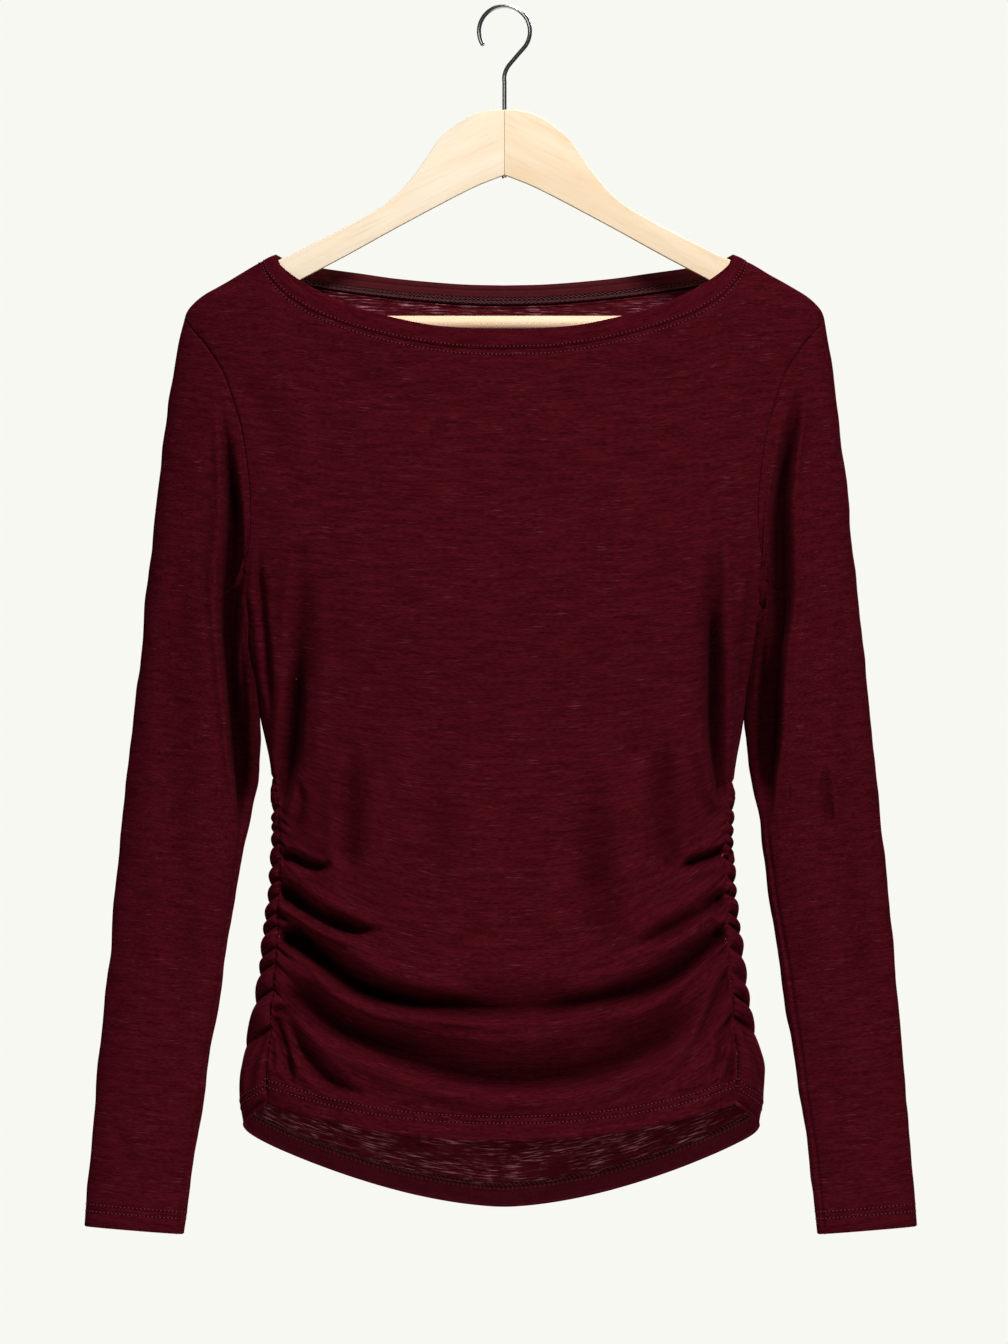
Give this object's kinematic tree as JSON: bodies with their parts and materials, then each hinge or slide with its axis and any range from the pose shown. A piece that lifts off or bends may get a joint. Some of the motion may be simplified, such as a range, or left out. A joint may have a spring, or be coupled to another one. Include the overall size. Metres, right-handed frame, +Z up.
{
  "type": "boat neck top on a hanger",
  "caption": "Long-sleeved jersey boat neck top with gathered side seams and a longer curved back hem, hung flat on a plain wooden hanger with a wire hook.",
  "frame": {"origin": "inner top of the hanger's hook, where it rests on a rail", "axes": "+Z up, +X to the right as seen from the front, +Y to the back; the front of the top faces -Y"},
  "size_m": [0.5551, 0.1024, 0.8194],
  "materials": {
    "slub_jersey": "matt",
    "neckband_jersey": "matt",
    "pale_wood": "satin",
    "pale_wood_right": "satin",
    "steel_wire": "satin"
  },
  "bodies": {
    "root": {"front_panel": "slub_jersey", "back_panel": "slub_jersey", "sleeve_left": "slub_jersey", "sleeve_right": "slub_jersey", "neckband": "neckband_jersey", "hanger_arm_left": "pale_wood", "hanger_arm_right": "pale_wood_right", "hanger_bar": "pale_wood", "hanger_hook": "steel_wire"}
  },
  "joints": []
}
